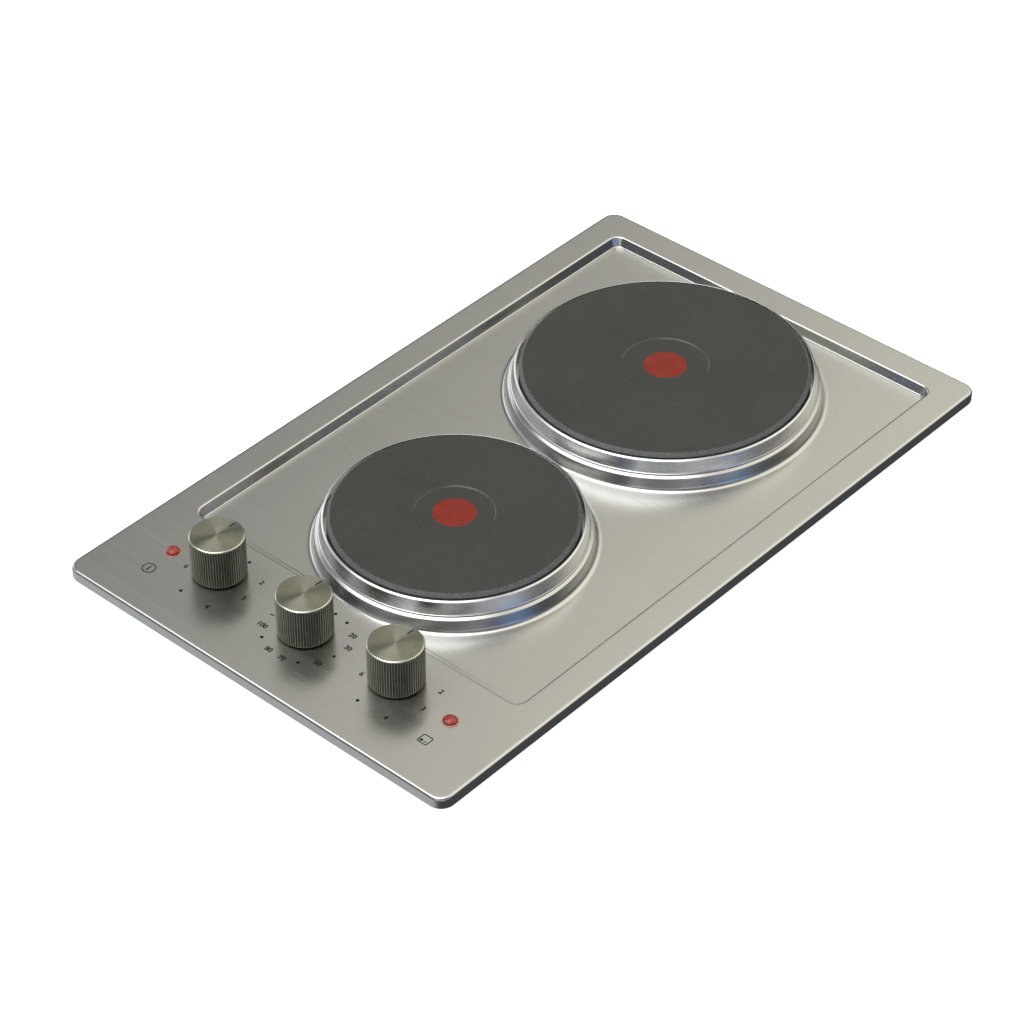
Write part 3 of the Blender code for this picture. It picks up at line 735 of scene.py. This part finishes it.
def show_turning(piece, radius, recess):
    """Gives the rim's bevel and the step round the recess the looks that the turning tool left."""
    piece.data.materials.append(ROUGH_IRON)
    piece.data.materials.append(TURNED_STEP)
    bevel_inside, bevel_top = radius - RIM_BEVEL + 0.1 * MM, IRON_TOP - 0.1 * MM
    step_middle, step_half = recess - RECESS_STEP / 2, 0.42 * MM
    for face in piece.data.polygons:
        reach, height = face.center.xy.length, face.center.z
        if reach > bevel_inside and SHOULDER < height < bevel_top:
            face.material_index = 1
        elif abs(reach - step_middle) < step_half and height > IRON_TOP - RECESS_DEPTH:
            face.material_index = 2


def enamel_dot(name):
    """The red spot that marks a plate with a thermal cut-out: a thin enamel pool with an uneven edge."""
    radius = DOT_RADIUS[name]
    sunk = IRON_TOP - RECESS_DEPTH
    under = sunk + 0.005 * MM
    seed = PLATES.index(name) * 7.0

    def sway(angle):
        return 1 + 0.012 * noise.noise(Vector((1.9 * math.cos(angle), 1.9 * math.sin(angle), seed)))

    profile = [
        (0, sunk + DOT_THICKNESS),
        (radius - 1.2 * MM, sunk + DOT_THICKNESS),
        (radius - 0.5 * MM, sunk + DOT_THICKNESS * 0.8),
        (radius - 0.12 * MM, sunk + DOT_THICKNESS * 0.4),
        (radius, under),
        (0, under),
    ]
    place = on_worktop(middle_of("iron_plate_" + name))
    turned("enamel_dot_" + name, profile, RED_ENAMEL, place, around=128, sway=sway)


def trim_ring(name):
    """The bright ring between plate and collar: rolled top edge, steep wall, foot on the collar's ledge."""
    node = "trim_ring_" + name
    radius = radius_of("iron_plate_" + name)
    mouth, inner_edge, outer_edge = radius + 1.6 * MM, radius - 2.8 * MM, radius + 5.1 * MM
    points = [
        (mouth, RING_TOP),
        (radius + 2.0 * MM, RING_TOP),
        (radius + 3.0 * MM, RING_TOP - 0.70 * MM),
        (radius + 4.55 * MM, RING_FOOT + 0.45 * MM),
        (outer_edge, RING_FOOT),
        (outer_edge, RING_SEAT),
        (inner_edge, RING_SEAT),
        (inner_edge, RING_FOOT),
        (radius + 3.9 * MM, RING_FOOT),
        (radius + 2.2 * MM, RING_TOP - 1.15 * MM),
        (mouth, RING_TOP - 0.65 * MM),
    ]
    bends = [0.2, 0.3, 0.4, 0.9, 0.2, 0.2, 0.1, 0.1, 0.5, 0.2, 0.1]
    profile = softened(points, [bend * MM for bend in bends], 6, closed=True)
    place = on_worktop(middle_of(node))
    piece = turned("rolled_ring_" + name, profile, FINISHES["bright_steel"], place, closed=True)
    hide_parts(node)


def flute(step):
    """How deep the groove is at that step round the knob, from 0 on a ridge to 1."""
    place = (step % FLUTE_STEPS) / FLUTE_STEPS
    reach = (place - 0.5) / 0.33
    return math.sqrt(1 - reach * reach) if abs(reach) < 1 else 0.0


def knob_profile(radius, low, high):
    """(radius, height, share of the flutes' depth) from the middle of the top down the side to the foot,
    then up the inside. The top falls slightly from its middle to the chamfer."""
    band = high - PLAIN_BAND
    chamfer_top = high - TOP_FALL
    inside, crown = radius - CAP_WALL, high - CAP_CROWN
    return [
        (0, high, 0),
        (radius * 0.1, high - TOP_FALL * 0.1, 0),
        (radius * 0.5, high - TOP_FALL * 0.5, 0),
        (radius - CHAMFER, chamfer_top, 0),
        (radius - CHAMFER + 0.18 * MM, chamfer_top - 0.07 * MM, 0),
        (radius - 0.10 * MM, chamfer_top - 0.42 * MM, 0),
        (radius, chamfer_top - 0.60 * MM, 0),
        (radius, band, 0),
        (radius, band - 0.15 * MM, 0.55),
        (radius, band - 0.40 * MM, 0.90),
        (radius, band - 0.80 * MM, 1.0),
        (radius, low + 1.3 * MM, 1.0),
        (radius - 0.05 * MM, low + 0.8 * MM, 0.9),
        (radius - 0.30 * MM, low + 0.35 * MM, 0.5),
        (radius - 0.70 * MM, low + 0.03 * MM, 0),
        (radius - 0.95 * MM, low, 0),
        (inside, low, 0),
        (inside, crown, 0),
        (0, crown, 0),
    ]


def fluted_shape(radius, low, high):
    """The knob's profile turned about its axis, with the flutes cut into its side."""
    around = FLUTES * FLUTE_STEPS
    shape = bmesh.new()
    loops = []
    for ring, height, share in knob_profile(radius, low, high):
        if ring == 0:
            loops.append([shape.verts.new((0, 0, height))])
            continue
        loops.append([])
        for step in range(around):
            angle = math.tau * step / around
            reach = ring - FLUTE_DEPTH * share * flute(step)
            loops[-1].append(shape.verts.new((reach * math.cos(angle), reach * math.sin(angle), height)))
    for first, second in zip(loops, loops[1:]):
        join_loops(shape, first, second)
    return shape


def knob(name):
    """The fluted metal cap of one knob, with its engraved and blacked index line."""
    node, body = "knob_cap_" + name, KNOBS[name]
    low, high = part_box(node)
    centre, radius = middle_of(node), radius_of(node)
    shape = fluted_shape(radius, low.z, high.z)
    piece = as_piece("fluted_cap_" + name, shape, FINISHES["knob_metal"], body, (centre.x, centre.y, 0), 42)
    finish_edges(piece, radius, high.z)
    carve(piece, slab("index_cutter", index_outline(centre), high.z - INDEX_DEPTH, high.z + MM, None))
    even_shading(piece)
    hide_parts(node)
    index_paint(name, body, centre, high.z)


def finish_edges(piece, radius, top):
    """Painted shade in the bottoms of the flutes, and a glossier cut chamfer round the top whose paler
    colour is a painted highlight.
    """
    piece.data.materials.append(GROOVE_SHADE_METAL)
    piece.data.materials.append(CHAMFER_HIGHLIGHT_METAL)
    for face in piece.data.polygons:
        depth = radius - face.center.xy.length
        # Faces deep in the flutes take the darker metal, which is painted shade.
        if 0.55 * FLUTE_DEPTH < depth < 1.5 * FLUTE_DEPTH and abs(face.normal.z) < 0.3:
            face.material_index = 1
        # Faces of the top chamfer take the paler metal, a painted highlight.
        elif face.center.z > top - 1.5 * MM and 0.3 < face.normal.z < 0.98:
            face.material_index = 2


def index_outline(centre, shrink=0.0):
    """The rounded slot of the index line, which points to the back at rest."""
    half = INDEX_HALF_WIDTH - shrink
    low = Vector((centre.x - half, centre.y + INDEX_NEAR + shrink))
    high = Vector((centre.x + half, centre.y + INDEX_FAR - shrink))
    return rounded_rectangle(low, high, half * 0.98, 5)


def slab(name, outline, low, high, material, body="hob", hole=None):
    """An outline's solid between two heights, with a hole through it if one is given."""
    shape = bmesh.new()
    outer = [add_loop(shape, outline, height) for height in (low, high)]
    join_loops(shape, *outer)
    inner = [add_loop(shape, hole, height) for height in (low, high)] if hole else []
    if hole:
        join_loops(shape, *inner)
    for level in (0, 1):
        fill_between(shape, [loops[level] for loops in (outer, inner) if loops])
    return as_piece(name, shape, material, body, sharp=30)


def index_paint(name, body, centre, top):
    """The black that fills the bottom of the engraved index line."""
    outline = index_outline(centre, PAINT_GAP)
    low = top - INDEX_DEPTH + 0.01 * MM
    slab("index_paint_" + name, outline, low, top - PAINT_DEPTH, BLACK_PRINT, body)


def pilot_lamp(name):
    """A domed red lens in its thin pale rim."""
    node = "lamp_lens_" + name
    radius, low = radius_of(node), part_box(node)[0].z - WORKTOP_Z
    place = on_worktop(middle_of(node))
    profile = [*dome(radius * 0.98), (LENS_STEM, LENS_SEAT), (LENS_STEM, low), (0, low)]
    piece = turned("domed_lens_" + name, profile, FINISHES["red_lens"], place, around=72)
    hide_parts(node)
    outer, foot = radius + LENS_RIM_WIDTH, PANEL + 0.02 * MM
    points = [(radius, foot), (outer, foot), (outer, LENS_RIM_TOP), (radius, LENS_RIM_TOP)]
    rim = softened(points, [0, 0, 0.3 * MM, 0.1 * MM], 4, closed=True)
    turned("lens_rim_" + name, rim, LENS_RIM, place, around=72, closed=True)


def dome(radius, edge=0.25 * MM, steps=12):
    """The lens's outline from the top of its dome to the foot of its short upright edge."""
    turns = [math.pi / 2 * step / steps for step in range(steps + 1)]
    base, rise = LENS_SEAT + edge, LENS_RISE - edge
    points = [(radius * math.sin(turn), base + rise * math.cos(turn)) for turn in turns]
    return [*points, (radius, LENS_SEAT)]


# The printed scales: label, degrees clockwise from the back, distance from the shaft in mm
HEAT_SCALE = (("2", 69, 26), ("3", 105, 27), ("4", 148, 30), ("dot", 191, 26), ("6", 244, 20))
TIMER_SCALE = (
    ("dot", 6, 21.6),
    ("dot", 31, 23.6),
    ("20", 57, 26.5),
    ("30", 79, 27.8),
    ("dot", 100, 26.6),
    ("50", 122, 27.7),
    ("dot", 145, 26),
    ("70", 167, 25.3),
    ("80", 191, 24.8),
    ("dot", 217, 24.5),
    ("100", 241, 25),
    ("tick", 264, 22.5),
)
SCALES = {"left": (("dot", 20, 18.6), *HEAT_SCALE), "middle": TIMER_SCALE, "right": HEAT_SCALE}
PRINT_LOW, PRINT_HIGH = WORKTOP_Z + PANEL + 0.01 * MM, WORKTOP_Z + PANEL + 0.045 * MM
DIGIT_SIZE, DIGIT_SWELL = 4.7 * MM, 0.13 * MM
SCALE_DOT, TICK_LENGTH, STROKE = 1.05 * MM, 2.6 * MM, 0.8 * MM


def printed_number(name, text, place):
    """Digits as thin ink on the panel, upright towards the back."""
    curve = bpy.data.curves.new(name, "FONT")
    curve.body, curve.size = text, DIGIT_SIZE
    curve.align_x, curve.align_y = "CENTER", "CENTER"
    curve.extrude, curve.offset = (PRINT_HIGH - PRINT_LOW) / 2, DIGIT_SWELL
    curve.resolution_u = 6
    letters = bpy.data.objects.new(name + "_outline", curve)
    bpy.context.scene.collection.objects.link(letters)
    mesh = bpy.data.meshes.new_from_object(letters.evaluated_get(bpy.context.evaluated_depsgraph_get()))
    bpy.data.objects.remove(letters)
    ink = bpy.data.objects.new(name, mesh)
    bpy.context.scene.collection.objects.link(ink)
    ink.location = (place[0], place[1], (PRINT_LOW + PRINT_HIGH) / 2)
    mesh.materials.clear()
    mesh.materials.append(BLACK_PRINT)
    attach(ink, "hob")


def printed_shape(name, outline, hole=None):
    slab(name, outline, PRINT_LOW, PRINT_HIGH, BLACK_PRINT, hole=hole)


def bar(start, end, width):
    """The outline of a straight printed stroke with square ends."""
    along = (end - start).normalized()
    aside = Vector((-along.y, along.x)) * width / 2
    return [start - aside, end - aside, end + aside, start + aside]


def printed_scales():
    for knob_name, marks in SCALES.items():
        centre = middle_of("control_shaft_" + knob_name).xy
        for number, (label, degrees, distance) in enumerate(marks):
            turn = math.radians(degrees)
            outward = Vector((math.sin(turn), math.cos(turn)))
            place = centre + outward * distance * MM
            name = f"mark_{knob_name}_{number}_{label}"
            if label == "dot":
                printed_shape(name, circle(place, SCALE_DOT, 28))
            elif label == "tick":
                printed_shape(name, bar(place, place + outward * TICK_LENGTH, STROKE))
            else:
                printed_number(name, label, place)


def printed_on_sign():
    """In front of the left lamp, a ring with an upright stroke."""
    middle = middle_of("lamp_lens_left").xy + Vector((0.0, -18.9)) * MM
    printed_shape("sign_on_ring", circle(middle, 4.15 * MM, 56), circle(middle, 3.52 * MM, 56))
    reach = Vector((0, 2.2)) * MM
    printed_shape("sign_on_stroke", bar(middle - reach, middle + reach, STROKE))


def printed_plate_sign():
    """In front of the right lamp, a square frame with a spot and a short dash."""
    middle = middle_of("lamp_lens_right").xy + Vector((-0.3, -19.5)) * MM
    half, line = Vector((3.5, 3.4)) * MM, Vector((0.6, 0.6)) * MM
    outer = rounded_rectangle(middle - half, middle + half, 1.1 * MM, 6)
    inner = rounded_rectangle(middle - half + line, middle + half - line, 0.7 * MM, 6)
    printed_shape("sign_plate_frame", outer, inner)
    spot = middle + Vector((-1.5, -1.4)) * MM
    printed_shape("sign_plate_spot", circle(spot, 0.95 * MM, 28))
    start, end = spot + Vector((1.6, 0)) * MM, spot + Vector((3.6, 0)) * MM
    printed_shape("sign_plate_dash", bar(start, end, 0.5 * MM))


# ---------------------------------------------------------------- studio


CAMERA_PLACE = Vector((0.97809, -1.12233, 1.23986))
CAMERA_AHEAD = Vector((-0.51458, 0.57876, -0.63264))
CAMERA_LENS = 114.22


def camera():
    data = bpy.data.cameras.new("studio_camera")
    data.lens, data.sensor_width = CAMERA_LENS, 36.0
    data.clip_start, data.clip_end = 0.05, 100.0
    eye = bpy.data.objects.new("studio_camera", data)
    bpy.context.scene.collection.objects.link(eye)
    eye.location = CAMERA_PLACE
    eye.rotation_mode = "QUATERNION"
    eye.rotation_quaternion = CAMERA_AHEAD.to_track_quat("-Z", "Y")
    bpy.context.scene.camera = eye


# Soft patches of light all round, in degrees: azimuth from +X anticlockwise, elevation,
# how far from its middle a patch stays at its brightest, how far it reaches; then its colour
SKY_BASE = (0.115, 0.12, 0.13)
SKY_PATCHES = (
    ("overhead", 250, 71, 15, 36, (2.9, 2.9, 2.9)),
    ("upper", 0, 90, 20, 75, (0.16, 0.16, 0.16)),
    ("back", 80, 50, 14, 50, (1.05, 1.01, 0.85)),
    ("left_high", 203, 54, 4, 16, (1.6, 1.6, 1.5)),
    ("left_side", 172, 11, 5, 24, (1.2, 1.2, 1.22)),
    ("low_front", 228, -39, 12, 50, (0.70, 0.70, 0.70)),
    ("front", 310, 2, 10, 42, (0.44, 0.45, 0.47)),
    ("left_front", 207, 17, 8, 30, (0.50, 0.50, 0.52)),
    ("front_left", 283, 8, 5, 18, (1.10, 1.10, 1.12)),
    ("front_right", 328, 8, 3, 13, (0.70, 0.70, 0.73)),
    ("left", 180, -20, 8, 45, (0.24, 0.24, 0.25)),
    ("right", 358, 15, 6, 18, (0.30, 0.58, 1.20)),
)


def direction_of(azimuth, elevation):
    """A direction given in degrees, as the x, y and z of a line one unit long."""
    turn, rise = math.radians(azimuth), math.radians(elevation)
    return math.cos(turn) * math.cos(rise), math.sin(turn) * math.cos(rise), math.sin(rise)


def patch_strength(tree, looking, towards, full, reach):
    """1 where looking is within full degrees of towards, fading to 0 at reach degrees."""
    dot = tree.nodes.new("ShaderNodeVectorMath")
    dot.operation = "DOT_PRODUCT"
    dot.inputs[1].default_value = towards
    tree.links.new(looking, dot.inputs[0])
    fade = tree.nodes.new("ShaderNodeMapRange")
    fade.interpolation_type = "SMOOTHERSTEP"
    fade.inputs["From Min"].default_value = math.cos(math.radians(reach))
    fade.inputs["From Max"].default_value = math.cos(math.radians(full))
    tree.links.new(dot.outputs["Value"], fade.inputs["Value"])
    return fade.outputs["Result"]


def sky():
    """The light all round: a dim even base and soft patches. The camera itself sees plain white."""
    world = bpy.data.worlds.new("studio_light")
    bpy.context.scene.world = world
    world.use_nodes = True
    tree = world.node_tree
    nodes, links = tree.nodes, tree.links
    looking = nodes.new("ShaderNodeTexCoord").outputs["Generated"]
    total = None
    for _, azimuth, elevation, full, reach, colour in SKY_PATCHES:
        add = nodes.new("ShaderNodeVectorMath")
        add.operation = "MULTIPLY_ADD"
        strength = patch_strength(tree, looking, direction_of(azimuth, elevation), full, reach)
        links.new(strength, add.inputs[0])
        add.inputs[1].default_value = colour
        if total is None:
            add.inputs[2].default_value = SKY_BASE
        else:
            links.new(total, add.inputs[2])
        total = add.outputs["Vector"]
    light = nodes["Background"]
    links.new(total, light.inputs["Color"])
    white = nodes.new("ShaderNodeBackground")
    white.inputs["Color"].default_value = (1, 1, 1, 1)
    seen = nodes.new("ShaderNodeMixShader")
    links.new(nodes.new("ShaderNodeLightPath").outputs["Is Camera Ray"], seen.inputs[0])
    links.new(light.outputs[0], seen.inputs[1])
    links.new(white.outputs[0], seen.inputs[2])
    links.new(seen.outputs[0], nodes["World Output"].inputs["Surface"])


def worktop_finish():
    """Matt white that also glows, so that shadows on it stay faint. It is transparent from below."""
    made = Finish("worktop_white", (0.80, 0.80, 0.80), 0.9)
    made.set("Emission Color", (1, 1, 1, 1))
    made.set("Emission Strength", 0.85)
    seen_through = made.node("BsdfTransparent", {}).outputs[0]
    behind = made.node("NewGeometry", {}).outputs["Backfacing"]
    sides = made.node("MixShader", {0: behind, 1: made.shader.outputs["BSDF"], 2: seen_through})
    made.feed(made.tree.nodes["Material Output"].inputs["Surface"], sides.outputs[0])
    return made.material


def worktop():
    """The pale plane that the flange lies on, open where the casing hangs."""
    low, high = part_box("bottom_casing")
    margin, far = Vector((3, 3)) * MM, Vector((40, 40))
    shape = bmesh.new()
    edge = add_loop(shape, rounded_rectangle(-far, far, 1.0), WORKTOP_Z)
    opening = add_loop(shape, rounded_rectangle(low.xy - margin, high.xy + margin, 5 * MM), WORKTOP_Z)
    fill_between(shape, [edge, opening])
    mesh = bpy.data.meshes.new("worktop")
    shape.to_mesh(mesh)
    shape.free()
    mesh.materials.append(worktop_finish())
    plane = bpy.data.objects.new("worktop", mesh)
    bpy.context.scene.collection.objects.link(plane)
    face_up(plane)
    plane.visible_glossy = False


def studio():
    camera()
    sky()
    worktop()
    bpy.context.scene.view_settings.view_transform = "Standard"


studio()
dress_cad_nodes()
pressed_top()
weld_studs()
for part, width in EDGES.items():
    edged(part, width)
for corner in CLAMPS:
    clamp_bolt(corner)
for plate in PLATES:
    iron_plate(plate)
    enamel_dot(plate)
    trim_ring(plate)
for side in KNOBS:
    knob(side)
for side in LAMPS:
    pilot_lamp(side)
printed_scales()
printed_on_sign()
printed_plate_sign()
